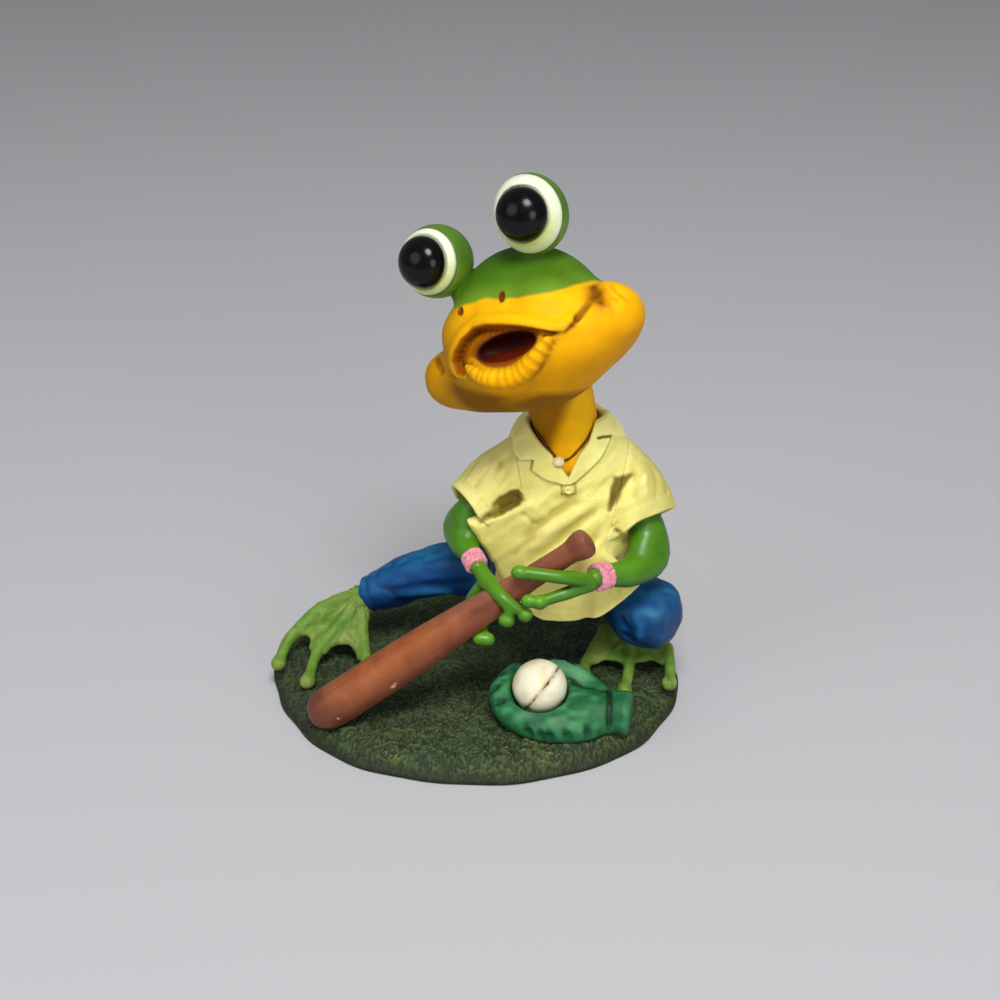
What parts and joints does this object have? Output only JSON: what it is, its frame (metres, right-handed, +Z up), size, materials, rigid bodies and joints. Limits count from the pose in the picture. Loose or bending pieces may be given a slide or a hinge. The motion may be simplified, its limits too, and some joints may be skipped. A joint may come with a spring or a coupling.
{
  "type": "frog figurine",
  "caption": "Seated cartoon frog figurine in shirt and jeans, holding a bat over a grass base, with a ball in a glove beside its foot. A shelf ornament.",
  "frame": {"origin": "centre of the grass base's flat underside", "axes": "+Z up; -Y is the front the frog's chest faces, +X its own left-hand side"},
  "size_m": [0.0861, 0.073, 0.1129],
  "materials": {
    "grass": "matt, stippled grass texture with dark wash",
    "foot_skin": "matt green with yellowish dry brushing",
    "denim_blue": "satin blue with lighter brushed folds",
    "shirt_yellow": "matt pale yellow with olive shading in the folds",
    "button_yellow": "matt",
    "throat_yellow": "satin orange yellow",
    "head_green": "satin green above, orange yellow below the lip line",
    "eye_white": "matt white in front, green behind",
    "pupil_black": "glossy black",
    "arm_green": "satin bright green",
    "wristband_pink": "matt pink with a towelling texture",
    "bat_brown": "satin reddish brown with worn light specks",
    "glove_green": "satin bluish green with lighter brushing",
    "ball_cream": "matt cream with a dark painted seam",
    "cord_brown": "matt dark brown",
    "bead_cream": "satin cream"
  },
  "bodies": {
    "root": {"base": "grass", "right_foot": "foot_skin", "left_foot": "foot_skin", "right_trouser_leg": "denim_blue", "left_trouser_leg": "denim_blue", "trouser_seat": "denim_blue", "shirt": "shirt_yellow", "right_sleeve": "shirt_yellow", "left_sleeve": "shirt_yellow", "collar": "shirt_yellow", "shirt_button": "button_yellow", "neck": "throat_yellow", "head": "head_green", "right_eyeball": "eye_white", "left_eyeball": "eye_white", "right_pupil": "pupil_black", "left_pupil": "pupil_black", "right_arm": "arm_green", "left_arm": "arm_green", "right_hand": "arm_green", "left_hand": "arm_green", "right_wristband": "wristband_pink", "left_wristband": "wristband_pink", "bat": "bat_brown", "glove": "glove_green", "ball": "ball_cream", "necklace": "cord_brown", "necklace_bead": "bead_cream"}
  },
  "joints": []
}
